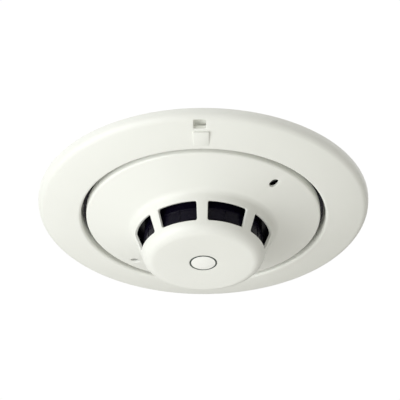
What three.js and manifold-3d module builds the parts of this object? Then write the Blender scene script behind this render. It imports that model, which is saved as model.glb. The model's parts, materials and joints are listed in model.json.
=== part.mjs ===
// Ceiling heat detector: a round plug-in detector head in a flanged, surface-mounted base.
// Millimetres, +Z up. The origin is the centre of the base's ceiling face, so the detector hangs
// below z = 0. An azimuth is counted from -Y, the side with the release slot, towards +X.
import * as THREE from "three";
import { mergeVertices } from "three/addons/utils/BufferGeometryUtils.js";
import Module from "manifold-3d";

const wasm = await Module();
wasm.setup();

// ---------- driving dimensions ----------
const TURN = 360;
const ROUND = 48; // sides of a large turned face
const GAP = 0.3; // clearance between neighbouring pieces
const OVER = 1; // how far a cutter runs past the face it cuts

// Flange ring. A corner's z is where its two faces would meet without their rounding.
const FLANGE_R = 77.5;
const FLANGE_EDGE = { z: -4.9, round: 3.9 };
const CUP_R = 57.3; // the opening that the head sits in
const LIP = { z: -9.7, round: 1.2 };
const FLANGE_WALL = 2.2;
const LEDGE = { r: 55.6, z: -0.7 }; // held between the base's stepped rim and the ceiling
const RIBS = 8;
const RIB_WIDTH = 1.4;

// Base floor
const FLOOR_Z = -2; // its room side
const WIRE_HOLE = { r: 16, collar: 18, rise: 1 };
const BOX_SLOT = { radius: 41.5, length: 10, width: 5 }; // for the electrical box's screws

// Release slot and the lock lever behind it, which rocks towards the ceiling on a radial pin
const RELEASE_AZIMUTH = -0.4;
const RELEASE_SLOT = { inner: 70.3, outer: 75.6, width: 5.7 };
const PAD = { inner: 59.9, outer: 68.9, width: 7.3, rise: 1 };
const PIVOT = { azimuth: 15, radius: 66, z: -2.2, pin: 0.9, boss: 1.85, half: 3.5 };
const LEVER = { top: -1.5, bottom: -2.9, inner: 57.8, outer: 74.6, arm: 6 };
const CATCH_WINDOW = { bottom: -3.6, angle: 6 };

// Terminals: four, each built with +X pointing out along its azimuth
const TERMINAL_AZIMUTHS = [45, 135, 225, 315];
const PEDESTAL = { inner: 24, outer: 45, width: 10, z: -2.5 };
const STRIP = { outer: 44.5, thick: 0.5 };
const STACK_GAP = 0.1; // between the strip, the clamp plate and the screw's head
const SCREW_RADIUS = 40; // where the terminal screws stand
const CLAMP = { side: 8, thick: 0.7, ridge: 0.6, ridgeRise: 0.4, ridgeAt: 2.6 };
const SCREW = { head: 3.2, headHeight: 1.6, shank: 1.7, end: -0.7, recess: 4, recessWidth: 0.8, depth: 1.1 };
const JAW = { inner: 24.6, outer: 30, opening: 1.3, length: 8 };
const BLADE = { thick: 0.7, foot: 5, tail: 3, inner: 25.6, neck: 31 };

// Bayonet: ears on the base carry lugs on the head
const BAYONET_AZIMUTHS = [22.5, 112.5, 202.5, 292.5];
const EAR = { inner: 45.2, wall: 47.4, outer: 49, top: -5, bottom: -6, angle: 15, stop: 1.6 };
const LUG = { inner: 47.9, top: -3.2, bottom: -4.6, angle: 14 };

// Head body, the board on it, and the sensing cage under the board
const BODY_R = 52.4;
const BODY_SKIRT_IN = 49.4;
const BODY_TOP_Z = -3;
const BODY_RIM = { r: 56.4, top: -3.2, bottom: -4.6 }; // closes the gap round the cover
const PLATE = { top: -7, thick: 1.2 };
const BOARD = { r: 38, top: -8.6, thick: 1.4 };
const BOARD_SCREWS = { radius: 34.5, azimuths: [90, 210, 330], boss: 3, hole: 1.25, shank: 1.1, head: 2.5 };
const SOLDER = 0.1; // gap between the board and what is soldered to it
const CAGE = { r: 32.6, top: -12.6, roof: 1.2, end: -29.7, hub: 5, vaneR: 25.6, vaneThick: 1.2, vanes: 18 };
const CAGE_CAP = { r: 25.8, thick: 1.2, hole: 2 };
const BAFFLE = { r: 27.4, thick: 1, top: -14.1, bottom: -27.4 }; // the air passes under its lower edge
const THERMISTOR = { azimuths: [337.5, 157.5], radius: 21, z: -24.5, bead: 1.5, room: 2.4 };

// Cover
const COVER_R = 54.8;
const COVER_TOP_Z = -4.9;
const RIM = { z: -9.4, round: 1.2 };
const THROAT = { r: 33.7, z: -16.1, round: 4 };
const CAP = { r: 26.8, z: -34.2, round: 6 };
const COVER_WALL = 1.3;
const WINDOWS = 8;
const WINDOW = { top: -20.3, bottom: -28.8, angle: 35.4 };
const LED_AZIMUTHS = [45, 225];
const LED_HOLE = { radius: 46.7, length: 4.8, width: 3.8 };
const LABEL = { r: 6.3, thick: 0.3, seat: 0.2 };

// ---------- materials ----------
function finish(color, roughness, metalness = 0) {
  return new THREE.MeshStandardMaterial({ color, roughness, metalness });
}
const whitePlastic = finish("#eceee6", 0.42);
const blackPlastic = finish("#17161a", 0.35);
const brass = finish("#c2a05a", 0.35, 1);
const zincSteel = finish("#b9bcc0", 0.35, 1);
const boardGreen = finish("#1f5a3a", 0.5);
const chipBlack = finish("#202124", 0.55);
const clearLens = finish("#8f9290", 0.15);
const sensorEpoxy = finish("#2b2320", 0.3);
const capacitorYellow = finish("#c78d2a", 0.5);
const labelFilm = finish("#f4f6f2", 0.3);

// ---------- solids ----------
const radians = THREE.MathUtils.degToRad;

// A closed three.js geometry as a manifold-3d solid, moved by a matrix if one is given.
function solid(geometry, matrix = new THREE.Matrix4()) {
  const bare = new THREE.BufferGeometry();
  bare.setAttribute("position", geometry.getAttribute("position").clone());
  bare.setIndex(geometry.index);
  bare.applyMatrix4(matrix);
  const merged = mergeVertices(bare, 1e-4);
  const corners = [];
  for (let i = 0; i < merged.index.count; i += 3) {
    const [a, b, c] = [0, 1, 2].map((k) => merged.index.getX(i + k));
    if (a !== b && b !== c && c !== a) corners.push(a, b, c);
  }
  return new wasm.Manifold(
    new wasm.Mesh({
      numProp: 3,
      vertProperties: merged.attributes.position.array,
      triVerts: new Uint32Array(corners),
    }),
  );
}

function joined(...solids) {
  return solids.reduce((a, b) => a.add(b));
}

function cut(body, ...tools) {
  return tools.reduce((a, b) => a.subtract(b), body);
}

function block(x0, x1, y0, y1, z0, z1) {
  const box = new THREE.BoxGeometry(x1 - x0, y1 - y0, z1 - z0);
  return solid(box.translate((x0 + x1) / 2, (y0 + y1) / 2, (z0 + z1) / 2));
}

function rod(r, z0, z1, x = 0, y = 0, sides = 20) {
  const cylinder = new THREE.CylinderGeometry(r, r, z1 - z0, sides);
  cylinder.rotateX(Math.PI / 2).translate(x, y, (z0 + z1) / 2);
  return solid(cylinder);
}

// Corners [r, z, rounding] as an outline, with an arc at each corner that has a rounding.
function outline(corners, steps = 4) {
  const points = [];
  corners.forEach(([r, z, rounding = 0], i) => {
    const corner = new THREE.Vector2(r, z);
    if (!rounding) {
      points.push(corner);
      return;
    }
    const towardsPoint = ([x, y]) => new THREE.Vector2(x, y).sub(corner).normalize();
    const before = towardsPoint(corners.at(i - 1));
    const after = towardsPoint(corners[(i + 1) % corners.length]);
    const half = Math.acos(before.dot(after)) / 2;
    const middle = before.clone().add(after).normalize();
    middle.multiplyScalar(rounding / Math.sin(half)).add(corner);
    const start = before.multiplyScalar(rounding / Math.tan(half)).add(corner).sub(middle);
    const end = after.multiplyScalar(rounding / Math.tan(half)).add(corner).sub(middle);
    const sweep = Math.atan2(start.cross(end), start.dot(end));
    for (let k = 0; k <= steps; k++) {
      points.push(start.clone().rotateAround(new THREE.Vector2(), (sweep * k) / steps).add(middle));
    }
  });
  return points;
}

// The chain of corners moved sideways by a wall's thickness, towards the axis and the ceiling.
function inset(corners, wall) {
  const lines = corners.slice(1).map(([r, z], i) => {
    const [r0, z0] = corners[i];
    const along = new THREE.Vector2(r - r0, z - z0).normalize();
    return { start: new THREE.Vector2(r0 + along.y * wall, z0 - along.x * wall), along };
  });
  return lines.slice(1).map((line, i) => {
    const before = lines[i];
    const apart = line.start.clone().sub(before.start);
    const reach = apart.cross(line.along) / before.along.cross(line.along);
    return before.along.clone().multiplyScalar(reach).add(before.start).toArray();
  });
}

// A closed outline turned about Z. It may touch the axis only with its first and last points.
function turned(points, sides = ROUND) {
  const area = THREE.ShapeUtils.area(points);
  const ordered = area > 0 ? [...points] : [...points].reverse();
  const onAxis = points[0].x === 0 && points.at(-1).x === 0;
  if (!onAxis) ordered.push(ordered[0].clone());
  return solid(new THREE.LatheGeometry(ordered, sides).rotateX(Math.PI / 2));
}

function ring(inner, outer, z0, z1, sides = ROUND) {
  return turned(outline([[inner, z0], [outer, z0], [outer, z1], [inner, z1]]), sides);
}

function disc(r, z0, z1, sides = ROUND) {
  return turned(outline([[0, z0], [r, z0], [r, z1], [0, z1]]), sides);
}

// A slice of a ring, centred on an azimuth.
function sector(inner, outer, z0, z1, azimuth, angle, steps = 6) {
  const start = radians(azimuth - 90 - angle / 2);
  const end = radians(azimuth - 90 + angle / 2);
  const shape = new THREE.Shape();
  shape.absarc(0, 0, outer, start, end, false);
  shape.absarc(0, 0, inner, end, start, true);
  const options = { depth: z1 - z0, bevelEnabled: false, curveSegments: steps };
  return solid(new THREE.ExtrudeGeometry(shape, options).translate(0, 0, z0));
}

// The matrix that turns a piece built along +X to an azimuth.
function towards(azimuth) {
  return new THREE.Matrix4().makeRotationZ(radians(azimuth - 90));
}

function place(azimuth, radius) {
  return [radius * Math.sin(radians(azimuth)), -radius * Math.cos(radians(azimuth))];
}

function spun(body, azimuth) {
  return body.transform(towards(azimuth).toArray());
}

// An outline in the X-Z plane, given depth along Y and centred on it.
function plate(points, depth) {
  const shape = new THREE.Shape(points.map(([x, z]) => new THREE.Vector2(x, z)));
  const slab = new THREE.ExtrudeGeometry(shape, { depth, bevelEnabled: false });
  return solid(slab.translate(0, 0, -depth / 2).rotateX(Math.PI / 2));
}

function slot(length, width, z0, z1, centre, azimuth) {
  const straight = (length - width) / 2;
  const ends = [centre - straight, centre + straight].map((x) => rod(width / 2, z0, z1, x));
  const middle = block(centre - straight, centre + straight, -width / 2, width / 2, z0, z1);
  return spun(joined(middle, ...ends), azimuth);
}

// ---------- meshes ----------
const detector = new THREE.Group();

function add(name, body, material, azimuth) {
  const { vertProperties, triVerts } = body.getMesh();
  const geometry = new THREE.BufferGeometry();
  geometry.setAttribute("position", new THREE.BufferAttribute(vertProperties, 3));
  geometry.setIndex(new THREE.BufferAttribute(triVerts, 1));
  geometry.computeVertexNormals();
  const mesh = new THREE.Mesh(geometry, material);
  mesh.name = name;
  if (azimuth !== undefined) mesh.rotation.z = radians(azimuth - 90);
  detector.add(mesh);
}

// Height of the flange's face at a radius.
function flangeZ(r) {
  return LIP.z + ((FLANGE_EDGE.z - LIP.z) * (r - CUP_R)) / (FLANGE_R - CUP_R);
}

// The flange's hollow back, between the cup's wall and the outer skirt, with its ribs.
function backHollow() {
  const inner = CUP_R + FLANGE_WALL;
  const outer = FLANGE_R - FLANGE_WALL;
  const [innerWall, outerWall] = [inner, outer].map((r) => [[r, OVER], [r, flangeZ(r) + FLANGE_WALL]]);
  const hollow = turned(outline([...innerWall, ...outerWall.reverse()]));
  const ribs = [];
  for (let i = 0; i < RIBS; i++) {
    const rib = block(inner - OVER, outer + OVER, -RIB_WIDTH / 2, RIB_WIDTH / 2, LIP.z, 0);
    ribs.push(spun(rib, ((i + 0.5) * TURN) / RIBS));
  }
  return cut(hollow, ...ribs);
}

// A wedge on the flange beside the release slot: tall at its outer end, flush at its inner end.
function releasePad() {
  const { inner, outer, rise, width } = PAD;
  const sunk = 1;
  const side = [
    [inner, flangeZ(inner) + sunk],
    [outer, flangeZ(outer) + sunk],
    [outer, flangeZ(outer) - rise],
    [inner, flangeZ(inner)],
  ];
  return spun(plate(side, width), 0);
}

function bayonetEar(azimuth) {
  const { inner, wall, outer, top, bottom, angle } = EAR;
  const upright = sector(inner, wall, bottom, FLOOR_Z + 0.5, azimuth, angle);
  const ledge = sector(wall - 0.5, outer, bottom, top, azimuth, angle);
  const stopAzimuth = azimuth + (angle + EAR.stop) / 2 - 0.1;
  const stop = sector(inner, outer, bottom, FLOOR_Z + 0.5, stopAzimuth, EAR.stop, 1);
  return joined(upright, ledge, stop);
}

function terminalPedestal(azimuth) {
  const { inner, outer, width, z } = PEDESTAL;
  return spun(block(inner, outer, -width / 2, width / 2, z, FLOOR_Z + 0.5), azimuth);
}

// A rod along a radius, about the lever's pivot.
function pivotRod(r, from, to) {
  const along = new THREE.Matrix4().makeRotationY(Math.PI / 2).setPosition(0, 0, PIVOT.z);
  return spun(rod(r, from, to).transform(along.toArray()), PIVOT.azimuth);
}

// Flange ring: wall of the cup, sloping flange and skirt. Its ledge hooks over the base's rim.
function flangeRing() {
  const shell = turned(
    outline([
      [LEDGE.r, 0],
      [FLANGE_R, 0],
      [FLANGE_R, FLANGE_EDGE.z, FLANGE_EDGE.round],
      [CUP_R, LIP.z, LIP.round],
      [CUP_R, LEDGE.z],
      [LEDGE.r, LEDGE.z],
    ]),
  );
  const pin = pivotRod(PIVOT.pin, CUP_R + OVER, FLANGE_R - OVER);
  const ringWithPad = joined(cut(shell, backHollow()), pin, releasePad());
  const { inner, outer, width } = RELEASE_SLOT;
  const releaseSlot = spun(block(inner, outer, -width / 2, width / 2, 2 * LIP.z, LEVER.top), RELEASE_AZIMUTH);
  const { bottom, angle } = CATCH_WINDOW;
  const windowEnd = CUP_R + FLANGE_WALL + GAP;
  const catchWindow = sector(LEDGE.r - OVER, windowEnd, bottom, OVER, RELEASE_AZIMUTH, angle, 2);
  return cut(ringWithPad, releaseSlot, catchWindow);
}

// Base: floor with the wire entry, the pedestals of its terminals and the ears of its bayonet.
function mountingBase() {
  const rim = CUP_R - GAP;
  const step = [LEDGE.r - GAP, LEDGE.z - GAP];
  const floor = turned(outline([[0, 0], [step[0], 0], step, [rim, step[1]], [rim, FLOOR_Z], [0, FLOOR_Z]]));
  const { r, collar, rise } = WIRE_HOLE;
  const solidBase = joined(
    floor,
    ring(r - 0.5, collar, FLOOR_Z - rise, FLOOR_Z + 0.5, 40),
    ...BAYONET_AZIMUTHS.map(bayonetEar),
    ...TERMINAL_AZIMUTHS.map(terminalPedestal),
  );
  const { length, width, radius } = BOX_SLOT;
  const boxSlots = [0, 90, 180, 270].map((azimuth) =>
    slot(length, width, FLOOR_Z - OVER, OVER, radius, azimuth),
  );
  const screwHoles = TERMINAL_AZIMUTHS.map((azimuth) =>
    rod(SCREW.shank + 0.15, PEDESTAL.z - OVER, SCREW.end + 0.2, ...place(azimuth, SCREW_RADIUS)),
  );
  return cut(solidBase, disc(r, FLOOR_Z - rise - OVER, OVER, 40), ...boxSlots, ...screwHoles);
}

// Lever of the head's lock. A blade in the release slot lifts its tongue, and its catch with it.
function lockLever() {
  const { top, bottom, inner, outer, arm } = LEVER;
  const { azimuth, radius, half, boss, pin } = PIVOT;
  const sweep = azimuth - RELEASE_AZIMUTH;
  const [armIn, armOut] = [radius - arm / 2, radius + arm / 2];
  const beam = sector(armIn, armOut, bottom, top, RELEASE_AZIMUTH + sweep / 2, sweep, 8);
  const tongue = sector(armIn, outer, bottom, top, RELEASE_AZIMUTH - 0.4, 5.6, 3);
  const pawl = sector(inner, radius, bottom, top, RELEASE_AZIMUTH, 3.6, 3);
  const bore = pivotRod(pin + 0.1, radius - half - OVER, radius + half + OVER);
  return cut(joined(beam, tongue, pawl, pivotRod(boss, radius - half, radius + half)), bore);
}

// Heights of the stack at a terminal, from the base's pedestal to the seat of the screw's head.
const STRIP_TOP_Z = PEDESTAL.z - STACK_GAP;
const STRIP_END_Z = STRIP_TOP_Z - STRIP.thick;
const CLAMP_TOP_Z = STRIP_END_Z - STACK_GAP;
const SCREW_SEAT_Z = CLAMP_TOP_Z - CLAMP.thick - STACK_GAP;

// Brass strip under a terminal screw; its inner end folds over into a jaw for the head's blade.
function contactClip() {
  const jawTop = STRIP_END_Z - JAW.opening;
  const jawEnd = jawTop - STRIP.thick;
  const flare = 0.3;
  const strip = plate(
    [
      [JAW.inner, STRIP_TOP_Z],
      [STRIP.outer, STRIP_TOP_Z],
      [STRIP.outer, STRIP_END_Z],
      [JAW.inner + STRIP.thick, STRIP_END_Z],
      [JAW.inner + STRIP.thick, jawTop],
      [JAW.outer - 1, jawTop],
      [JAW.outer, jawTop - flare],
      [JAW.outer, jawEnd - flare],
      [JAW.outer - 1, jawEnd],
      [JAW.inner, jawEnd],
    ],
    JAW.length,
  );
  return cut(strip, rod(SCREW.shank + GAP, jawEnd, 0, SCREW_RADIUS));
}

// Square washer that clamps the field wires; two ridges along it keep them apart.
function clampPlate() {
  const { side, thick, ridge, ridgeRise, ridgeAt } = CLAMP;
  const end = CLAMP_TOP_Z - thick;
  const [from, to] = [SCREW_RADIUS - side / 2, SCREW_RADIUS + side / 2];
  const washer = block(from, to, -side / 2, side / 2, end, CLAMP_TOP_Z);
  const ridges = [-ridgeAt, ridgeAt].map((y) =>
    block(from, to, y - ridge / 2, y + ridge / 2, end - ridgeRise, end + thick / 2),
  );
  const headRoom = rod(SCREW.head + GAP, end - OVER, end, SCREW_RADIUS);
  const hole = rod(SCREW.shank + 0.2, end - OVER, CLAMP_TOP_Z + OVER, SCREW_RADIUS);
  return cut(joined(washer, ...ridges), headRoom, hole);
}

// Cross recess in a screw's head, to be cut out.
function crossRecess(length, width, from, to) {
  const arm = block(-length / 2, length / 2, -width / 2, width / 2, from, to);
  return [arm, spun(arm, 0)];
}

// Pan-head screw with a cross recess, its head towards the room.
function terminalScrew() {
  const { head, headHeight, shank, end, recess, recessWidth, depth } = SCREW;
  const headEnd = SCREW_SEAT_Z - headHeight;
  const shaft = [[0, end], [shank, end], [shank, SCREW_SEAT_Z]];
  const pan = [[head, SCREW_SEAT_Z], [head, headEnd, 0.9], [0, headEnd]];
  const body = turned(outline([...shaft, ...pan], 3), 20);
  const cross = crossRecess(recess, recessWidth, headEnd - OVER, headEnd + depth);
  return cut(body, ...cross).translate([SCREW_RADIUS, 0, 0]);
}

// The head's back: a shallow black cup whose lugs hang on the base's ears.
function headBody() {
  const plateEnd = PLATE.top - PLATE.thick;
  const cup = turned(
    outline([
      [0, PLATE.top],
      [BODY_SKIRT_IN, PLATE.top],
      [BODY_SKIRT_IN, BODY_TOP_Z],
      [BODY_R, BODY_TOP_Z],
      [BODY_R, BODY_RIM.top],
      [BODY_RIM.r, BODY_RIM.top],
      [BODY_RIM.r, BODY_RIM.bottom],
      [BODY_R, BODY_RIM.bottom],
      [BODY_R, plateEnd + 1.2],
      [BODY_R - 3, plateEnd],
      [0, plateEnd],
    ]),
  );
  const lugs = BAYONET_AZIMUTHS.map((azimuth) =>
    sector(LUG.inner, BODY_SKIRT_IN + 0.5, LUG.bottom, LUG.top, azimuth, LUG.angle),
  );
  const { azimuths, radius, boss, hole } = BOARD_SCREWS;
  const spots = azimuths.map((azimuth) => place(azimuth, radius));
  const bosses = spots.map((spot) => rod(boss, BOARD.top + 0.1, plateEnd + 0.4, ...spot));
  const screwHoles = spots.map((spot) => rod(hole, BOARD.top - OVER, PLATE.top - 0.4, ...spot));
  return cut(joined(cup, ...lugs, ...bosses), ...screwHoles, ...TERMINAL_AZIMUTHS.map(bladeSlot));
}

// The slot that a blade's tail passes through, in the head's back and in the board.
function bladeSlot(azimuth) {
  const room = 0.25;
  const { neck, thick, tail } = BLADE;
  const [from, to, half] = [neck - room, neck + thick + room, tail / 2 + room];
  return spun(block(from, to, -half, half, BOARD.top - BOARD.thick - OVER, PLATE.top + OVER), azimuth);
}

// Contact blade: a foot in the base's jaw, a neck, and a tail soldered into the board.
function contactBlade() {
  const { thick, foot, tail, inner, neck } = BLADE;
  const top = STRIP_END_Z - JAW.opening / 2 + thick / 2;
  const bend = PLATE.top + 0.8; // the blade narrows here into its tail
  const end = BOARD.top - BOARD.thick - 0.6;
  const footAndNeck = plate(
    [
      [inner, top],
      [neck + thick, top],
      [neck + thick, bend],
      [neck, bend],
      [neck, top - thick],
      [inner, top - thick],
    ],
    foot,
  );
  return joined(footAndNeck, block(neck, neck + thick, -tail / 2, tail / 2, end, bend + 0.2));
}

function circuitBoard() {
  const { azimuths, radius, hole } = BOARD_SCREWS;
  const end = BOARD.top - BOARD.thick;
  const screwHoles = azimuths.map((azimuth) =>
    rod(hole + 0.25, end - OVER, BOARD.top + OVER, ...place(azimuth, radius)),
  );
  return cut(disc(BOARD.r, end, BOARD.top), ...screwHoles, ...TERMINAL_AZIMUTHS.map(bladeSlot));
}

function boardScrew() {
  const { radius, shank, head } = BOARD_SCREWS;
  const seat = BOARD.top - BOARD.thick - STACK_GAP;
  const [end, headEnd] = [PLATE.top - 0.8, seat - 1.5];
  const profile = [[0, end], [shank, end], [shank, seat], [head, seat], [head, headEnd, 0.6], [0, headEnd]];
  const screw = turned(outline(profile, 2), 16);
  return cut(screw, ...crossRecess(2.8, 0.6, headEnd - OVER, headEnd + 0.8)).translate([radius, 0, 0]);
}

const SOLDER_Z = BOARD.top - BOARD.thick - SOLDER;

// A part soldered to the board's room side, centred on a radius.
function boardPart(radius, long, wide, high) {
  return block(radius - long / 2, radius + long / 2, -wide / 2, wide / 2, SOLDER_Z - high, SOLDER_Z);
}

// Integrated circuit with a row of bent legs along two sides.
function microcontroller() {
  const radius = 32;
  const body = boardPart(radius, 5.8, 8.8, 1.5);
  const legs = [-3, -1, 1, 3].map((y) => boardPart(radius, 7.8, 0.5, 0.5).translate([0, y, 0]));
  return joined(body.subtract(boardPart(radius, 6, 9, 0.15)), ...legs);
}

// Glass reed switch lying on the board, for a magnet test: tube, and a lead at each end.
function reedSwitch() {
  const radius = 33;
  const z = SOLDER_Z - 1.2;
  const along = (r, length) => {
    const cylinder = new THREE.CylinderGeometry(r, r, length, 14);
    return solid(cylinder.translate(radius, 0, z));
  };
  const feet = [-6.6, 6.6].map((y) => block(radius - 0.25, radius + 0.25, y - 0.25, y + 0.25, z, z + 1.2));
  return joined(along(1, 9), along(0.25, 13.7), ...feet);
}

// Clear pipe from a board's LED out to its hole in the cover, where its end shows as the lens.
function lightPipe() {
  const half = LED_HOLE.length / 2 - GAP;
  const [start, inner, outer] = [BOARD.r + 0.4, LED_HOLE.radius - half, LED_HOLE.radius + half];
  const bar = plate(
    [
      [start, -8.7],
      [outer, -8.5],
      [outer, -9.1],
      [start, -11.1],
    ],
    LED_HOLE.width - 2 * GAP,
  );
  const lens = slot(2 * half, LED_HOLE.width - 2 * GAP, -11.4, -8.8, LED_HOLE.radius, 90);
  return joined(bar, cut(lens, block(inner - 1, outer + 1, -5, 5, -8.85, 0)));
}

// Bead thermistor on two leads that stand out of the board into the air inside the cage.
function thermistor() {
  const { radius, z: beadZ, bead: r } = THERMISTOR;
  const bead = new THREE.SphereGeometry(r, 12, 8).scale(1, 1, 1.35).translate(radius, 0, beadZ);
  const leads = [-0.8, 0.8].map((y) => block(radius - 0.2, radius + 0.2, y - 0.2, y + 0.2, beadZ, SOLDER_Z));
  return joined(solid(bead), ...leads);
}

// Black cage round the thermistors: a roof under the board, and slanted vanes that let air in.
function sensorCage() {
  const { r, top, roof, end, hub, vaneR, vaneThick, vanes } = CAGE;
  const under = top - roof;
  const blades = [];
  for (let i = 0; i < vanes; i++) {
    const vane = new THREE.BoxGeometry(10, vaneThick, under - end + 0.2);
    vane.rotateZ(radians(50)).translate(vaneR - 4, 0, (under + end) / 2 + 0.1);
    blades.push(solid(vane, towards((i * TURN) / vanes)));
  }
  const insideBaffle = disc(vaneR, end, under + GAP);
  const { azimuths, radius, room } = THERMISTOR;
  const leadHoles = azimuths.map((azimuth) =>
    spun(block(radius - 0.8, radius + 0.8, -1.5, 1.5, end, top + OVER), azimuth),
  );
  const beadRooms = azimuths.map((azimuth) => rod(room, end, under, ...place(azimuth, radius)));
  const post = rod(hub, end, BOARD.top - BOARD.thick - GAP, 0, 0, 24);
  const cage = joined(disc(r, under, top), post, joined(...blades).intersect(insideBaffle));
  return cut(cage, ...leadHoles, ...beadRooms);
}

function cageCap() {
  const { r, thick, hole } = CAGE_CAP;
  const top = CAGE.end - 0.15;
  return cut(disc(r, top - thick, top), rod(hole, top - thick - OVER, top + OVER));
}

// Smooth black ring behind the windows, which keeps draughts and dust off the cage.
function airBaffle() {
  const { r, thick, top, bottom } = BAFFLE;
  return ring(r - thick, r, bottom, top);
}

// Cover of the head: rim, cone, windowed throat and cap, one white moulding open towards the base.
function headCover() {
  const skin = [
    [COVER_R, COVER_TOP_Z],
    [COVER_R, RIM.z, RIM.round],
    [THROAT.r, THROAT.z, THROAT.round],
    [CAP.r, CAP.z, CAP.round],
    [0, CAP.z],
  ];
  const [rimIn, throatIn, capIn] = inset(skin, COVER_WALL);
  const shell = turned(outline([[0, COVER_TOP_Z], ...skin]));
  const hollow = turned(
    outline([
      [0, COVER_TOP_Z + OVER],
      [rimIn[0], COVER_TOP_Z + OVER],
      [...rimIn, 0.4],
      [...throatIn, THROAT.round + COVER_WALL],
      [...capIn, CAP.round - COVER_WALL],
      [0, capIn[1]],
    ]),
  );
  const windows = [];
  for (let i = 0; i < WINDOWS; i++) {
    const azimuth = ((i + 0.5) * TURN) / WINDOWS;
    windows.push(sector(20, 40, WINDOW.bottom, WINDOW.top, azimuth, WINDOW.angle, 5));
  }
  const { length, width, radius } = LED_HOLE;
  const ledHoles = LED_AZIMUTHS.map((azimuth) => slot(length, width, -20, COVER_TOP_Z, radius, azimuth));
  const labelSeat = disc(LABEL.r + LABEL.seat, CAP.z - OVER, CAP.z + LABEL.thick + 0.1, 32);
  return cut(shell, hollow, labelSeat, ...windows, ...ledHoles);
}

// ---------- assembly ----------
add("mounting_base", mountingBase(), whitePlastic);
add("flange_ring", flangeRing(), whitePlastic);
add("lock_lever", lockLever(), whitePlastic);
TERMINAL_AZIMUTHS.forEach((azimuth, i) => {
  const n = i + 1;
  add(`contact_clip_${n}`, contactClip(), brass, azimuth);
  add(`clamp_plate_${n}`, clampPlate(), zincSteel, azimuth);
  add(`terminal_screw_${n}`, terminalScrew(), zincSteel, azimuth);
  add(`contact_blade_${n}`, contactBlade(), brass, azimuth);
});

add("head_body", headBody(), blackPlastic);
add("circuit_board", circuitBoard(), boardGreen);
BOARD_SCREWS.azimuths.forEach((azimuth, i) => add(`board_screw_${i + 1}`, boardScrew(), zincSteel, azimuth));
add("microcontroller", microcontroller(), chipBlack, 0);
add("bridge_rectifier", boardPart(32.5, 5, 6, 2), chipBlack, 68);
add("capacitor_1", boardPart(33, 3.5, 6, 2), capacitorYellow, 25);
add("capacitor_2", boardPart(33, 3.5, 6, 2), capacitorYellow, 112);
[150, 185, 240, 300].forEach((azimuth, i) => {
  add(`resistor_${i + 1}`, boardPart(33, 1.6, 3.2, 0.6), chipBlack, azimuth);
});
add("reed_switch", reedSwitch(), clearLens, 270);
LED_AZIMUTHS.forEach((azimuth, i) => {
  add(`status_led_${i + 1}`, boardPart(36.6, 1.6, 2.2, 0.9), clearLens, azimuth);
  add(`light_pipe_${i + 1}`, lightPipe(), clearLens, azimuth);
});
THERMISTOR.azimuths.forEach((azimuth, i) => add(`thermistor_${i + 1}`, thermistor(), sensorEpoxy, azimuth));
add("sensor_cage", sensorCage(), blackPlastic);
add("cage_cap", cageCap(), blackPlastic);
add("air_baffle", airBaffle(), blackPlastic);

add("head_cover", headCover(), whitePlastic);
add("label_disc", disc(LABEL.r, CAP.z, CAP.z + LABEL.thick, 32), labelFilm);

export default detector;
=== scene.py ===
"""A ceiling heat detector, seen from below: the looks that go over its CAD frame."""

import json
import math

import bmesh
import bpy
from mathutils import Matrix, Vector


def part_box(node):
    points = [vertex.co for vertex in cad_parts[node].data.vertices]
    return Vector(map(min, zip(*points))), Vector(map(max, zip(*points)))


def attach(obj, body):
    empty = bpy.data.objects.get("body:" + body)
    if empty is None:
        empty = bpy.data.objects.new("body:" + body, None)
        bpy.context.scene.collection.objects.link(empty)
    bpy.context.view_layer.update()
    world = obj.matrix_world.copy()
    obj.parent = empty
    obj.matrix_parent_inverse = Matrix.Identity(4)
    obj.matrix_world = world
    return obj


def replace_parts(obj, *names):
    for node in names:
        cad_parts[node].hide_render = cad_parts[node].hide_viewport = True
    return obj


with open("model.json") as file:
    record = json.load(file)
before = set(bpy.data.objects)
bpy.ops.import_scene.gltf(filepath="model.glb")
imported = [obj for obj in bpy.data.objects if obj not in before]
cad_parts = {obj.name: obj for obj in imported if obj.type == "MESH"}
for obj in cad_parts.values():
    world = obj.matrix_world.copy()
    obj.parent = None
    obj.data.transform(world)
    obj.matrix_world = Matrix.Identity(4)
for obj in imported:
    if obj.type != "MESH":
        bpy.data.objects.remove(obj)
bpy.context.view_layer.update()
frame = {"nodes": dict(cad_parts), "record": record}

MM = 0.001


# ---------- sizes: millimetres, taken from the frame where a node gives them ----------
def top(node):
    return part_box(node)[1].z / MM


def bottom(node):
    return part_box(node)[0].z / MM


def radius(node):
    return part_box(node)[1].x / MM


TURN = 2 * math.pi
FINE = 192  # sides of a turned face

GAP = 0.3  # clearance between neighbouring pieces
FLANGE_R = radius("flange_ring")
FLANGE_EDGE = {"z": -4.9, "round": 3.9}
CUP_R = 57.3
LIP = {"z": -9.7, "round": 1.2}
FLANGE_WALL = 2.2
LEDGE = {"r": 55.6, "z": -0.7}
RIBS = 8
RIB_WIDTH = 1.4
FLOOR_Z = -2
WIRE_HOLE = {"r": 16, "collar": 18, "rise": 1}
BOX_SLOT = {"radius": 41.5, "length": 10, "width": 5}
RELEASE_SLOT = {"inner": 70.3, "outer": 75.6, "width": 5.7, "azimuth": math.radians(-0.4)}
PAD = {"inner": 59.9, "outer": 68.9, "width": 7.3, "rise": 1}
PIVOT = {"azimuth": math.radians(15), "z": -2.2, "pin": 0.9}
EAR = {"inner": 45.2, "wall": 47.4, "outer": 49, "top": -5, "bottom": -6, "angle": 15}
BAYONET_AZIMUTHS = [22.5, 112.5, 202.5, 292.5]
PEDESTAL = {"inner": 24, "outer": 45, "half": 5, "z": -2.5}

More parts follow.
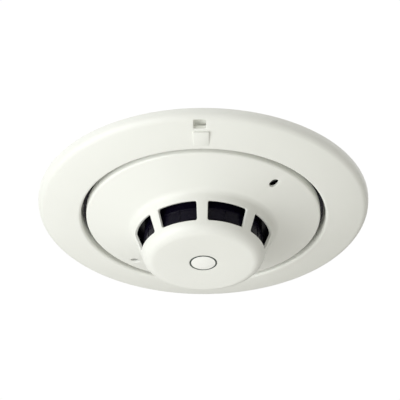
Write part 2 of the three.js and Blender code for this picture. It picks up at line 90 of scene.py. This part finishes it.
COVER_R = radius("head_cover")
COVER_TOP = top("head_cover")
RIM = {"z": -9.4, "round": 1.2}
THROAT = {"r": 33.7, "z": -16.1, "round": 4}
CAP = {"r": 26.8, "z": bottom("head_cover"), "round": 6}
COVER_WALL = 1.3
WINDOWS = 8
WINDOW = {"top": -20.3, "bottom": -28.8, "angle": math.radians(35.4), "corner": 0.9}
MOULD_EDGE = 0.3  # rounding that the mould leaves on a cut edge
LED_HOLE = {"radius": 46.7, "length": 4.8, "width": 3.8}
LED_AZIMUTHS = (TURN / 8, TURN * 5 / 8)
LABEL_R = radius("label_disc")
LABEL_TOP = top("label_disc")
LABEL_LINE = {"outer": 0.62, "inner": 0.74}  # how far the printed line stands in from the label's edge
NEAR_AXIS = 0.02  # a turned outline stops just short of the axis
BAFFLE_R = radius("air_baffle")
BAFFLE_WALL = 1
LENS_END = -9.7  # the light pipes stop well inside their holes


# ---------- outlines ----------
def rounded(corners, steps=8):
    """Corners (r, z[, rounding]) as points, with an arc at each corner that has a rounding."""
    points = []
    for i, corner in enumerate(corners):
        here = Vector(corner[:2])
        rounding = corner[2] if len(corner) > 2 else 0
        if not rounding:
            points.append(here)
            continue
        before = (Vector(corners[i - 1][:2]) - here).normalized()
        after = (Vector(corners[(i + 1) % len(corners)][:2]) - here).normalized()
        half = before.angle(after) / 2
        middle = here + (before + after).normalized() * (rounding / math.sin(half))
        start = here + before * (rounding / math.tan(half)) - middle
        end = here + after * (rounding / math.tan(half)) - middle
        sweep = math.atan2(start.x * end.y - start.y * end.x, start.dot(end))
        for k in range(steps + 1):
            points.append(middle + Matrix.Rotation(sweep * k / steps, 2) @ start)
    return points


def inset(corners, wall):
    """A chain of corners moved sideways by a wall's thickness, towards the axis and the ceiling."""
    lines = []
    for (r0, z0), (r1, z1) in zip(corners, corners[1:]):
        along = Vector((r1 - r0, z1 - z0)).normalized()
        lines.append((Vector((r0 + along.y * wall, z0 - along.x * wall)), along))
    moved = []
    for (start, along), (next_start, next_along) in zip(lines, lines[1:]):
        apart = next_start - start
        reach = apart.cross(next_along) / along.cross(next_along)
        moved.append(start + along * reach)
    return moved


def obround(length, width, steps=10):
    """Points of a slot with round ends, its length along x."""
    points = []
    straight = (length - width) / 2
    for side in (1, -1):
        for k in range(steps + 1):
            turn = math.pi * (k / steps - 0.5)
            points.append(
                Vector((side * (straight + math.cos(turn) * width / 2), side * math.sin(turn) * width / 2))
            )
    return points


def rounded_box(width, height, corner, steps=4):
    half_w, half_h = width / 2, height / 2
    corners = [(half_w, -half_h), (half_w, half_h), (-half_w, half_h), (-half_w, -half_h)]
    return rounded([(*c, corner) for c in corners], steps)


# ---------- meshes ----------
def place(azimuth, r, z):
    """A point at an azimuth counted from -Y towards +X."""
    return Vector((r * math.sin(azimuth), -r * math.cos(azimuth), z))


def mesh_object(name, rings, closed=False, caps=False):
    """Skins a row of rings, each a closed loop of the same number of points in millimetres."""
    mesh = bmesh.new()
    rows = [[mesh.verts.new(point * MM) for point in ring] for ring in rings]
    pairs = list(zip(rows, rows[1:]))
    if closed:
        pairs.append((rows[-1], rows[0]))
    for low, high in pairs:
        for i in range(len(low)):
            j = (i + 1) % len(low)
            mesh.faces.new((low[i], low[j], high[j], high[i]))
    if caps:
        mesh.faces.new(rows[0])
        mesh.faces.new(rows[-1])
    bmesh.ops.remove_doubles(mesh, verts=mesh.verts, dist=1e-7)
    bmesh.ops.recalc_face_normals(mesh, faces=mesh.faces)
    data = bpy.data.meshes.new(name)
    mesh.to_mesh(data)
    mesh.free()
    made = bpy.data.objects.new(name, data)
    bpy.context.scene.collection.objects.link(made)
    return made


def turned(name, points, sides=FINE):
    """A closed outline of (r, z) turned about the axis."""
    rings = [[place(TURN * i / sides, p.x, p.y) for p in points] for i in range(sides)]
    return mesh_object(name, rings, closed=True)


def prism(name, outline, low, high):
    """An outline in x and y, drawn out from height low to height high."""
    return mesh_object(name, [[Vector((p.x, p.y, z)) for p in outline] for z in (low, high)], caps=True)


def box(name, x0, x1, y0, y1, z0, z1):
    outline = [Vector(c) for c in ((x0, y0), (x1, y0), (x1, y1), (x0, y1))]
    return prism(name, outline, z0, z1)


def at_azimuth(piece, azimuth):
    """Turns a piece built along +X to an azimuth."""
    piece.data.transform(Matrix.Rotation(azimuth - math.pi / 2, 4, "Z"))
    return piece


def finished(piece):
    """Replaces a piece's mesh by what its modifiers make of it."""
    graph = bpy.context.evaluated_depsgraph_get()
    made = bpy.data.meshes.new_from_object(piece.evaluated_get(graph))
    piece.modifiers.clear()
    piece.data = made
    return piece


def carved(piece, cutters):
    for cutter in cutters:
        step = piece.modifiers.new("cut", "BOOLEAN")
        step.object = cutter
        step.operation = "DIFFERENCE"
        step.solver = "EXACT"
    finished(piece)
    for cutter in cutters:
        bpy.data.objects.remove(cutter)
    return piece


def welded(piece, others):
    """Puts other pieces' meshes into one, as one moulding; they overlap, so nothing is cut after this."""
    mesh = bmesh.new()
    mesh.from_mesh(piece.data)
    for other in others:
        mesh.from_mesh(other.data)
        bpy.data.objects.remove(other)
    mesh.to_mesh(piece.data)
    mesh.free()
    return piece


def beveled(piece, width, steps=2, angle=30):
    step = piece.modifiers.new("edges", "BEVEL")
    step.width = width * MM
    step.segments = steps
    step.angle_limit = math.radians(angle)
    return finished(piece)


def smooth(piece, angle=32):
    piece.data.shade_smooth()
    piece.data.set_sharp_from_angle(angle=math.radians(angle))
    return piece


def edge_levels(depth, rounding=MOULD_EDGE, steps=4):
    """(height, growth) of a cutter's rings, from its far end out past a rounded edge at height 0."""
    levels = [(-depth, 0)]
    for k in range(steps + 1):
        turn = math.pi / 2 * k / steps
        levels.append((-rounding * (1 - math.sin(turn)), rounding * (1 - math.cos(turn))))
    levels.append((rounding * 2, rounding))
    return levels


def grown(outline, growth):
    """A convex outline about the origin, pushed out by a growth."""
    moved = []
    for i, point in enumerate(outline):
        along = (outline[(i + 1) % len(outline)] - outline[i - 1]).normalized()
        moved.append(point + Vector((along.y, -along.x)) * growth)
    return moved


def face_cutter(name, outline, azimuth, r, z, slope, depth):
    """Cuts an outline into a face of revolution that slopes down towards the axis; x runs out along it."""
    out = Vector((math.cos(slope), math.sin(slope)))
    normal = Vector((math.sin(slope), -math.cos(slope)))
    rings = []
    for height, growth in edge_levels(depth):
        ring = []
        for p in grown(outline, growth):
            spot = Vector((r, z)) + out * p.x + normal * height
            ring.append(Vector((spot.x, p.y, spot.y)))
        rings.append(ring)
    return at_azimuth(mesh_object(name, rings, caps=True), azimuth)


# ---------- materials ----------
def colour(code):
    """An sRGB hex code as linear RGBA."""
    parts = [int(code[i : i + 2], 16) / 255 for i in (1, 3, 5)]
    return [c / 12.92 if c <= 0.04045 else ((c + 0.055) / 1.055) ** 2.4 for c in parts] + [1]


def node(tree, kind, settings=None, inputs=None):
    """Adds a node, sets what it is told and links or fills its inputs."""
    made = tree.nodes.new(kind)
    for name, value in (settings or {}).items():
        setattr(made, name, value)
    for name, value in (inputs or {}).items():
        if isinstance(value, bpy.types.NodeSocket):
            tree.links.new(value, made.inputs[name])
        else:
            made.inputs[name].default_value = value
    return made


def surface(name, **shader):
    """A new material and its shader, with the shader's sockets set."""
    made = bpy.data.materials.new(name)
    made.use_nodes = True
    tree = made.node_tree
    tree.nodes.clear()
    principled = node(tree, "ShaderNodeBsdfPrincipled")
    for key, value in shader.items():
        principled.inputs[key.replace("_", " ")].default_value = value
    node(tree, "ShaderNodeOutputMaterial", inputs={"Surface": principled.outputs[0]})
    return made, tree, principled


def per_metre(millimetres):
    """The texture scale whose features are about so many millimetres apart."""
    return 1 / (millimetres * MM)


def grain(tree, spacing, detail=3, stretch=None):
    """Noise in the piece's own space with grains about a spacing apart, in millimetres."""
    spot = node(tree, "ShaderNodeTexCoord").outputs["Object"]
    if stretch:
        spot = node(tree, "ShaderNodeMapping", inputs={"Vector": spot, "Scale": stretch}).outputs[0]
    scale = {"Vector": spot, "Scale": per_metre(spacing), "Detail": detail}
    return node(tree, "ShaderNodeTexNoise", inputs=scale).outputs["Fac"]


def between(tree, factor, low, high, low_in=0.35, high_in=0.65):
    limits = {"Value": factor, "From Min": low_in, "From Max": high_in, "To Min": low, "To Max": high}
    return node(tree, "ShaderNodeMapRange", inputs=limits).outputs[0]


def two_tone(tree, factor, dark, light):
    colours = {"Factor": factor, "A": colour(dark), "B": colour(light)}
    mix = node(tree, "ShaderNodeMix", {"data_type": "RGBA"})
    for key, value in colours.items():
        socket = [s for s in mix.inputs if s.name == key and s.enabled][0]
        if key == "Factor":
            tree.links.new(value, socket)
        else:
            socket.default_value = value
    return [s for s in mix.outputs if s.enabled][0]


def bump(tree, height, depth):
    """Normals of a relief whose full height is a depth in millimetres."""
    relief = {"Height": height, "Distance": depth * MM, "Strength": 1}
    return node(tree, "ShaderNodeBump", inputs=relief).outputs[0]


def moulded_plastic(name, dark, light, roughness, ior=1.53, **shader):
    """Injection-moulded ABS: satin from a spark-eroded mould, with a faint drift of tone and gloss.

    The mould's real grain is about 0.05 mm; it is drawn at 0.4 mm so that it can show at all."""
    made, tree, principled = surface(name, IOR=ior, **shader)
    drift = grain(tree, 35, detail=2)
    tree.links.new(two_tone(tree, drift, dark, light), principled.inputs["Base Color"])
    gloss = between(tree, grain(tree, 6), roughness - 0.04, roughness + 0.04)
    tree.links.new(gloss, principled.inputs["Roughness"])
    tree.links.new(bump(tree, grain(tree, 0.4), 0.006), principled.inputs["Normal"])
    return made


def rolled_metal(name, dark, light, roughness, line=0.25):
    """Sheet or wire stock: fine drawn lines in one direction, cloudier where it was handled."""
    made, tree, principled = surface(name, Metallic=1)
    lines = grain(tree, line, stretch=(1, 0.08, 0.08))
    tree.links.new(two_tone(tree, grain(tree, 3), dark, light), principled.inputs["Base Color"])
    tree.links.new(between(tree, lines, roughness - 0.08, roughness + 0.1), principled.inputs["Roughness"])
    tree.links.new(bump(tree, lines, 0.004), principled.inputs["Normal"])
    return made


def solder_mask():
    """Glass-epoxy board: green lacquer over copper tracks that stand a little proud of it."""
    made, tree, principled = surface("green_solder_mask", IOR=1.5, Coat_Weight=0.4, Coat_Roughness=0.15)
    spot = node(tree, "ShaderNodeTexCoord").outputs["Object"]
    cells = node(
        tree,
        "ShaderNodeTexVoronoi",
        {"feature": "F1", "distance": "CHEBYCHEV"},
        {"Vector": spot, "Scale": per_metre(3.2), "Randomness": 0.8},
    )
    edges = {0: cells.outputs["Distance"], 1: 0.42}
    tracks = node(tree, "ShaderNodeMath", {"operation": "GREATER_THAN"}, edges)
    tree.links.new(two_tone(tree, tracks.outputs[0], "#1c5236", "#2b7347"), principled.inputs["Base Color"])
    tree.links.new(between(tree, grain(tree, 5), 0.3, 0.4), principled.inputs["Roughness"])
    tree.links.new(bump(tree, tracks.outputs[0], 0.04), principled.inputs["Normal"])
    return made


def moulded_epoxy(name, dark, light, roughness, **shader):
    """Filled epoxy of a chip, capacitor or dipped bead: fine speckle of filler and slightly uneven gloss."""
    made, tree, principled = surface(name, IOR=1.55, **shader)
    speckle = grain(tree, 0.5)
    tree.links.new(two_tone(tree, speckle, dark, light), principled.inputs["Base Color"])
    gloss = between(tree, grain(tree, 2), roughness - 0.06, roughness + 0.06)
    tree.links.new(gloss, principled.inputs["Roughness"])
    tree.links.new(bump(tree, speckle, 0.01), principled.inputs["Normal"])
    return made


def label_film():
    """Satin white polyester film with one printed line round its edge, in a dark green-grey ink."""
    made, tree, principled = surface("printed_polyester_film", IOR=1.57, Coat_Weight=0.2, Coat_Roughness=0.2)
    spot = node(tree, "ShaderNodeTexCoord").outputs["Object"]
    flat = node(tree, "ShaderNodeVectorMath", {"operation": "MULTIPLY"}, {0: spot, 1: (1, 1, 0)})
    away = node(tree, "ShaderNodeVectorMath", {"operation": "LENGTH"}, {0: flat.outputs[0]}).outputs["Value"]
    start, full = LABEL_R - LABEL_LINE["inner"], LABEL_R - LABEL_LINE["outer"]
    line = {"Value": away, "From Min": start * MM, "From Max": full * MM}
    ink = node(tree, "ShaderNodeMapRange", inputs=line).outputs[0]
    tree.links.new(two_tone(tree, ink, "#f8f9f4", "#24352d"), principled.inputs["Base Color"])
    tree.links.new(between(tree, grain(tree, 4), 0.3, 0.38), principled.inputs["Roughness"])
    tree.links.new(bump(tree, grain(tree, 1.2), 0.004), principled.inputs["Normal"])
    return made


white_abs = moulded_plastic("warm_white_abs", "#ebece5", "#eff0ea", 0.42)
black_abs = moulded_plastic("glossy_black_abs", "#0c0916", "#13101f", 0.26, Specular_IOR_Level=0.12)
brass_sheet = rolled_metal("stamped_brass", "#b28a43", "#cfa760", 0.3)
zinc_plate = rolled_metal("bright_zinc_plate", "#a9adb1", "#c9ccd0", 0.28)
board_green = solder_mask()
chip_black = moulded_epoxy("chip_epoxy", "#18181a", "#242427", 0.55)
capacitor_epoxy = moulded_epoxy("yellow_capacitor_epoxy", "#b97d1f", "#cf9434", 0.45)
bead_epoxy = moulded_epoxy("dipped_bead_epoxy", "#241c19", "#382c27", 0.25, Coat_Weight=0.5)
# Clear acrylic drawn grey and letting little light through: the grey is painted shade, standing for the dark
# inside the recessed lens holes.
acrylic_grey_painted_shade = moulded_plastic("acrylic_grey_painted_shade", "#6f7270", "#868a87", 0.2, 1.49, Transmission_Weight=0.35)
film = label_film()


def wear(piece, material):
    piece.data.materials.clear()
    piece.data.materials.append(material)
    return piece


FINISHES = {
    "white_plastic": white_abs,
    "black_plastic": black_abs,
    "contact_brass": brass_sheet,
    "zinc_steel": zinc_plate,
    "board": board_green,
    "chip": chip_black,
    "capacitor": capacitor_epoxy,
    "clear_lens": acrylic_grey_painted_shade,
    "sensor_epoxy": bead_epoxy,
    "label": film,
}


def stands_for(piece, nodename, body, slot_name):
    wear(smooth(piece), FINISHES[slot_name])
    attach(piece, body)
    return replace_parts(piece, nodename)


# ---------- base ----------
def flange_z(r):
    return LIP["z"] + (FLANGE_EDGE["z"] - LIP["z"]) * (r - CUP_R) / (FLANGE_R - CUP_R)


FLANGE_SLOPE = math.atan2(FLANGE_EDGE["z"] - LIP["z"], FLANGE_R - CUP_R)


def ring_shell():
    """Cup wall, lip, sloping flange and skirt, with the hollow behind the flange."""
    hollow_in, hollow_out = CUP_R + FLANGE_WALL, FLANGE_R - FLANGE_WALL
    back = [
        (LEDGE["r"], 0, 0.2),
        (hollow_in, 0, 0.3),
        (hollow_in, flange_z(hollow_in) + FLANGE_WALL, 0.5),
        (hollow_out, flange_z(hollow_out) + FLANGE_WALL, 0.8),
        (hollow_out, 0, 0.3),
    ]
    face = [
        (FLANGE_R, 0, 0.4),
        (FLANGE_R, FLANGE_EDGE["z"], FLANGE_EDGE["round"]),
        (CUP_R, LIP["z"], LIP["round"]),
        (CUP_R, LEDGE["z"], 0.2),
        (LEDGE["r"], LEDGE["z"], 0.2),
    ]
    return turned("flange_moulding", rounded(back + face, steps=6))


def floor_shell():
    """Floor with a stepped rim for the flange ring's ledge, and a collar round the wire entry."""
    rim, step = CUP_R - GAP, (LEDGE["r"] - GAP, LEDGE["z"] - GAP)
    collar_z = FLOOR_Z - WIRE_HOLE["rise"]
    outline = [
        (WIRE_HOLE["r"], 0, 0.3),
        (step[0], 0, 0.2),
        (*step, 0.1),
        (rim, step[1], 0.2),
        (rim, FLOOR_Z, 0.3),
        (WIRE_HOLE["collar"], FLOOR_Z, 0.3),
        (WIRE_HOLE["collar"], collar_z, 0.3),
        (WIRE_HOLE["r"], collar_z, 0.3),
    ]
    return turned("floor_moulding", rounded(outline, steps=4))


def upright(name, points, depth):
    """An outline in the plane of the radius and the height, given a width across it."""
    rings = [[Vector((r, y, z)) for r, z in points] for y in (-depth / 2, depth / 2)]
    return mesh_object(name, rings, caps=True)


def sector(name, inner, outer, z0, z1, azimuth, angle, steps=10):
    middle, half = math.radians(azimuth), math.radians(angle) / 2
    turns = [middle - half + 2 * half * k / steps for k in range(steps + 1)]
    outline = [place(t, outer, 0) for t in turns] + [place(t, inner, 0) for t in reversed(turns)]
    return prism(name, outline, z0, z1)


def release_pad():
    """Wedge beside the release slot: tall at its outer end, flush at its inner end."""
    inner, outer, rise = PAD["inner"], PAD["outer"], PAD["rise"]
    side = [
        (inner, flange_z(inner) + 0.6),
        (outer, flange_z(outer) + 0.6),
        (outer, flange_z(outer) - rise),
        (inner, flange_z(inner)),
    ]
    return at_azimuth(beveled(upright("pad", side, PAD["width"]), 0.3, 3), 0)


def flange_ribs():
    inner, outer = CUP_R + FLANGE_WALL, FLANGE_R - FLANGE_WALL
    ribs = []
    for i in range(RIBS):
        side = [
            (inner - 0.5, -0.02),
            (outer + 0.5, -0.02),
            (outer + 0.5, flange_z(outer) + FLANGE_WALL - 0.5),
            (inner - 0.5, flange_z(inner) + FLANGE_WALL - 0.5),
        ]
        ribs.append(at_azimuth(upright(f"rib_{i}", side, RIB_WIDTH), (i + 0.5) * TURN / RIBS))
    return ribs


def lever_pin():
    ring = [Vector((math.cos(TURN * k / 24), math.sin(TURN * k / 24))) * PIVOT["pin"] for k in range(24)]
    rings = [[Vector((r, p.x, PIVOT["z"] + p.y)) for p in ring] for r in (CUP_R + 1, FLANGE_R - 1)]
    return at_azimuth(mesh_object("pin", rings, caps=True), PIVOT["azimuth"])


def flange_ring():
    shell = ring_shell()
    slot = RELEASE_SLOT
    length = (slot["outer"] - slot["inner"]) / math.cos(FLANGE_SLOPE)
    middle = (slot["outer"] + slot["inner"]) / 2
    opening = rounded_box(length, slot["width"], 0.5)
    catch = (LEDGE["r"] - 1, CUP_R + FLANGE_WALL + GAP, -3.6, 1, math.degrees(slot["azimuth"]), 6)
    cutters = [
        face_cutter("slot", opening, slot["azimuth"], middle, flange_z(middle), FLANGE_SLOPE, 3.2),
        sector("catch", *catch, steps=3),
    ]
    carved(shell, cutters)
    welded(shell, [release_pad(), lever_pin(), *flange_ribs()])
    return stands_for(shell, "flange_ring", "base", "white_plastic")


def floor_fittings():
    """Bayonet ears and terminal pedestals."""
    made = []
    for azimuth in BAYONET_AZIMUTHS:
        span = (azimuth, EAR["angle"])
        made.append(sector("ear", EAR["inner"], EAR["wall"], EAR["bottom"], FLOOR_Z + 0.5, *span))
        made.append(sector("ledge", EAR["wall"] - 0.5, EAR["outer"], EAR["bottom"], EAR["top"], *span))
        stop = (azimuth + EAR["angle"] / 2 + 0.7, 1.6)
        made.append(sector("stop", EAR["inner"], EAR["outer"], EAR["bottom"], FLOOR_Z + 0.5, *stop, steps=2))
        half = PEDESTAL["half"]
        reach = (PEDESTAL["inner"], PEDESTAL["outer"])
        raised = box("pedestal", *reach, -half, half, PEDESTAL["z"], FLOOR_Z + 0.5)
        made.append(at_azimuth(raised, math.radians(azimuth + 22.5)))
    return made


def mounting_base():
    shell = floor_shell()
    cutters = []
    for i in range(4):
        hole = [p + Vector((BOX_SLOT["radius"], 0)) for p in obround(BOX_SLOT["length"], BOX_SLOT["width"])]
        cutters.append(at_azimuth(prism(f"box_slot_{i}", hole, FLOOR_Z - 1, 1), i * TURN / 4))
    carved(shell, cutters)
    welded(shell, floor_fittings())
    return stands_for(shell, "mounting_base", "base", "white_plastic")


# ---------- cover ----------
THROAT_LEAN = math.atan2(THROAT["r"] - CAP["r"], THROAT["z"] - CAP["z"])


def throat_r(z):
    return THROAT["r"] + (z - THROAT["z"]) * math.tan(THROAT_LEAN)


def window_cutter(azimuth):
    """Rounded opening in the throat, its outer edge softened as the mould leaves it."""
    middle_z = (WINDOW["top"] + WINDOW["bottom"]) / 2
    middle_r = throat_r(middle_z)
    height = (WINDOW["top"] - WINDOW["bottom"]) / math.cos(THROAT_LEAN)
    width = WINDOW["angle"] * middle_r
    outline = []
    corners = rounded_box(width, height, WINDOW["corner"], 5)
    for a, b in zip(corners, corners[1:] + corners[:1]):
        parts = max(1, round((b - a).length / 1.2))
        outline += [a.lerp(b, k / parts) for k in range(parts)]
    rings = []
    for level, growth in edge_levels(5):
        ring = []
        for p in grown(outline, growth):
            r = middle_r + p.y * math.sin(THROAT_LEAN) + level * math.cos(THROAT_LEAN)
            z = middle_z + p.y * math.cos(THROAT_LEAN) - level * math.sin(THROAT_LEAN)
            ring.append(place(azimuth + p.x / middle_r, r, z))
        rings.append(ring)
    return mesh_object("window", rings, caps=True)


def head_cover():
    skin = [
        (COVER_R, COVER_TOP),
        (COVER_R, RIM["z"]),
        (THROAT["r"], THROAT["z"]),
        (CAP["r"], CAP["z"]),
        (0, CAP["z"]),
    ]
    rim_in, throat_in, cap_in = inset(skin, COVER_WALL)
    seat = LABEL_R + 0.2
    outline = rounded(
        [
            (COVER_R, COVER_TOP, 0.2),
            (COVER_R, RIM["z"], RIM["round"]),
            (THROAT["r"], THROAT["z"], THROAT["round"]),
            (CAP["r"], CAP["z"], CAP["round"]),
            (seat, CAP["z"], 0.08),
            (seat, LABEL_TOP + 0.1),
            (NEAR_AXIS, LABEL_TOP + 0.1),
            (NEAR_AXIS, cap_in.y),
            (*cap_in, CAP["round"] - COVER_WALL),
            (*throat_in, THROAT["round"] + COVER_WALL),
            (*rim_in, 0.4),
            (rim_in.x, COVER_TOP, 0.2),
        ],
        steps=10,
    )
    shell = turned("cover_moulding", outline)
    cutters = [window_cutter((i + 0.5) * TURN / WINDOWS) for i in range(WINDOWS)]
    slope = math.atan2(RIM["z"] - THROAT["z"], COVER_R - THROAT["r"])
    face = RIM["z"] - (COVER_R - LED_HOLE["radius"]) * math.tan(slope)
    hole = obround(LED_HOLE["length"], LED_HOLE["width"])
    for azimuth in LED_AZIMUTHS:
        cutters.append(face_cutter("led_hole", hole, azimuth, LED_HOLE["radius"], face, slope, 4))
    carved(shell, cutters)
    return stands_for(shell, "head_cover", "cover", "white_plastic")


def label():
    low, high = CAP["z"], LABEL_TOP
    edge = [(NEAR_AXIS, low), (LABEL_R, low, 0.05), (LABEL_R, high), (NEAR_AXIS, high)]
    return stands_for(turned("cap_label", rounded(edge, 3)), "label_disc", "cover", "label")


# ---------- behind the cover's openings ----------
def air_baffle():
    """Smooth black ring behind the windows, with a bead round it and a low rib under each window's middle."""
    high, low = top("air_baffle"), bottom("air_baffle")
    bead = {"z": -21.4, "proud": 0.3, "half": 0.35}
    outline = [
        (BAFFLE_R - BAFFLE_WALL, high, 0.2),
        (BAFFLE_R, high, 0.2),
        (BAFFLE_R, bead["z"] + bead["half"], 0.1),
        (BAFFLE_R + bead["proud"], bead["z"] + bead["half"], 0.14),
        (BAFFLE_R + bead["proud"], bead["z"] - bead["half"], 0.14),
        (BAFFLE_R, bead["z"] - bead["half"], 0.1),
        (BAFFLE_R, low, 0.4),
        (BAFFLE_R - BAFFLE_WALL, low, 0.4),
    ]
    shell = turned("baffle_moulding", rounded(outline, steps=4))
    ribs = []
    for i in range(WINDOWS):
        back, front, foot = BAFFLE_R - 0.4, BAFFLE_R + 0.25, low + 0.4
        side = [(back, bead["z"]), (front, bead["z"]), (front, foot), (back, foot)]
        ribs.append(at_azimuth(beveled(upright(f"rib_{i}", side, 0.7), 0.12), (i + 0.5) * TURN / WINDOWS))
    return stands_for(welded(shell, ribs), "air_baffle", "head", "black_plastic")


def light_pipe(number, azimuth):
    """Clear bar from the board's edge out to its hole, where it turns down into a short round-ended lens."""
    half = LED_HOLE["length"] / 2 - GAP
    start, outer = 38.4, LED_HOLE["radius"] + half
    width = LED_HOLE["width"] - 2 * GAP
    side = [(start, -8.7), (outer - 0.6, -8.5), (outer - 0.6, -9.1), (start, -9.7)]
    bar = beveled(upright("bar", side, width), 0.15)
    shape = [p + Vector((LED_HOLE["radius"], 0)) for p in obround(2 * half, width)]
    lens = beveled(prism("lens", shape, LENS_END, -8.8), 0.3, 3)
    piece = at_azimuth(welded(bar, [lens]), azimuth)
    return stands_for(piece, f"light_pipe_{number}", "head", "clear_lens")


# ---------- CAD pieces that keep their own shape ----------
def dress_frame():
    slots = {part["node"]: part["material_slot"] for part in frame["record"]["subparts"]}
    for name, piece in frame["nodes"].items():
        wear(piece, FINISHES[slots[name]])


# ---------- studio ----------
def studio_floor():
    reach, depth, sides = 4.5, -1.2, 128  # metres
    turns = [i * TURN / sides for i in range(sides)]
    edge = [Vector((reach * math.cos(t), reach * math.sin(t), depth)) / MM for t in turns]
    below = [c + Vector((0, 0, -20)) for c in edge]
    piece = mesh_object("studio_floor", [below, edge], caps=True)
    made, tree, principled = surface("pale_paper", Roughness=0.9)
    tree.links.new(two_tone(tree, grain(tree, 60), "#d2d1cd", "#d8d7d3"), principled.inputs["Base Color"])
    wear(piece, made)


def soft_light(name, spot, size, power, tint):
    lamp = bpy.data.lights.new(name, "AREA")
    lamp.shape = "DISK"
    lamp.size = size
    lamp.energy = power
    lamp.color = colour(tint)[:3]
    made = bpy.data.objects.new(name, lamp)
    made.location = spot
    made.rotation_euler = Vector(spot).to_track_quat("Z", "Y").to_euler()
    made.visible_camera = False
    bpy.context.scene.collection.objects.link(made)


def studio():
    """White above and behind, softer grey below, so that the face that looks down keeps its shading."""
    world = bpy.data.worlds.new("studio")
    bpy.context.scene.world = world
    world.use_nodes = True
    tree = world.node_tree
    tree.nodes.clear()
    way = node(tree, "ShaderNodeTexCoord").outputs["Generated"]
    height = node(tree, "ShaderNodeSeparateXYZ", inputs={"Vector": way}).outputs["Z"]
    rise = between(tree, height, 0.0, 1.0, low_in=0.2, high_in=0.46)
    tone = two_tone(tree, rise, "#8a8883", "#ffffff")
    sky = node(tree, "ShaderNodeBackground", inputs={"Color": tone, "Strength": 1.02})
    node(tree, "ShaderNodeOutputWorld", inputs={"Surface": sky.outputs[0]})
    soft_light("key", (-1.135, -0.795, -0.8), 1.1, 13.8, "#fbfdff")
    soft_light("side", (-1.386, 0, -0.8), 1.1, 4.5, "#fbfdff")
    studio_floor()


def camera():
    """A long lens, almost square on to the release slot and looking up from below."""
    azimuth, elevation, distance = math.radians(0.88), math.radians(-32.94), 1.5
    lens = bpy.data.cameras.new("camera")
    lens.sensor_width = 36
    lens.lens = 287.2
    lens.shift_x = -0.0082
    lens.shift_y = 0.003
    made = bpy.data.objects.new("camera", lens)
    level = math.cos(elevation)
    spot = Vector((math.sin(azimuth) * level, -math.cos(azimuth) * level, math.sin(elevation))) * distance
    made.location = spot
    made.rotation_euler = spot.to_track_quat("Z", "Y").to_euler()
    bpy.context.scene.collection.objects.link(made)
    bpy.context.scene.camera = made


dress_frame()
mounting_base()
flange_ring()
head_cover()
label()
air_baffle()
for i, azimuth in enumerate(LED_AZIMUTHS):
    light_pipe(i + 1, azimuth)
studio()
camera()
bpy.context.scene.view_settings.view_transform = "Standard"
